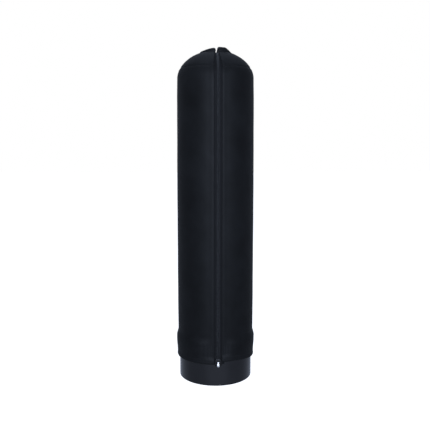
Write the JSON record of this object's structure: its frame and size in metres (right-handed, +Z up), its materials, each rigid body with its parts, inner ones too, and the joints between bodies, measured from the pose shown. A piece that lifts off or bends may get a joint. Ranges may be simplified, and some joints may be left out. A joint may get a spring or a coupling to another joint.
{
  "type": "microphone windscreen",
  "caption": "Tall tubular microphone windshield: zipped matte stretch-fabric cover with a domed crown over a lattice basket, on a gloss black base ring.",
  "frame": {"origin": "middle of the base ring's lower face, on the surface that the windshield stands on", "axes": "+Z up along the tube to the crown, -Y towards the zip, +X to the viewer's right when facing the zip"},
  "size_m": [0.1046, 0.1081, 0.4355],
  "materials": {
    "base_gloss": "gloss black moulded plastic",
    "moulded": "matte black moulded plastic",
    "seal": "matte black rubber",
    "foam": "open-cell charcoal foam",
    "cover_fabric": "matte black stretch fabric with a faint blue cast",
    "zip_tape": "woven black zip tape",
    "zip_coil": "satin black nylon coil",
    "zip_lacquer": "black lacquered zinc",
    "zip_nickel": "bright nickel plate",
    "screw_steel": "zinc plated"
  },
  "bodies": {
    "windshield": {"base_ring": "base_gloss", "mouth_gasket": "seal", "base_collar": "moulded", "collar_screw_1": "screw_steel", "collar_screw_2": "screw_steel", "collar_screw_3": "screw_steel", "collar_screw_4": "screw_steel", "basket_tube": "moulded", "hoop_lower": "moulded", "hoop_middle": "moulded", "hoop_upper": "moulded", "shoulder_ring": "moulded", "dome_cage": "moulded", "nose_hub": "moulded", "foam_liner": "foam", "foam_cap": "foam", "cover_body": "cover_fabric", "crown_left": "cover_fabric", "crown_right": "cover_fabric", "crown_patch_left": "cover_fabric", "crown_patch_right": "cover_fabric", "hem_channel": "cover_fabric", "hem_elastic": "zip_tape", "zip_tape_left": "zip_tape", "zip_tape_right": "zip_tape", "zip_coil_left": "zip_coil", "zip_coil_right": "zip_coil", "zip_hem_stop_left": "zip_lacquer", "zip_hem_stop_right": "zip_lacquer", "zip_crown_stop": "zip_lacquer"},
    "slider": {"zip_slider": "zip_lacquer"},
    "pull": {"zip_pull": "zip_nickel"}
  },
  "joints": [
    {"name": "zip_run", "type": "slide", "parent": "windshield", "child": "slider", "axis": [0, 0, 1], "range_m": [0, 0.35]},
    {"name": "pull_swing", "type": "hinge", "parent": "slider", "child": "pull", "pos_m": [0, -0.0547, 0.0336], "axis": [-1, 0, 0], "range_deg": [0, 150]}
  ]
}
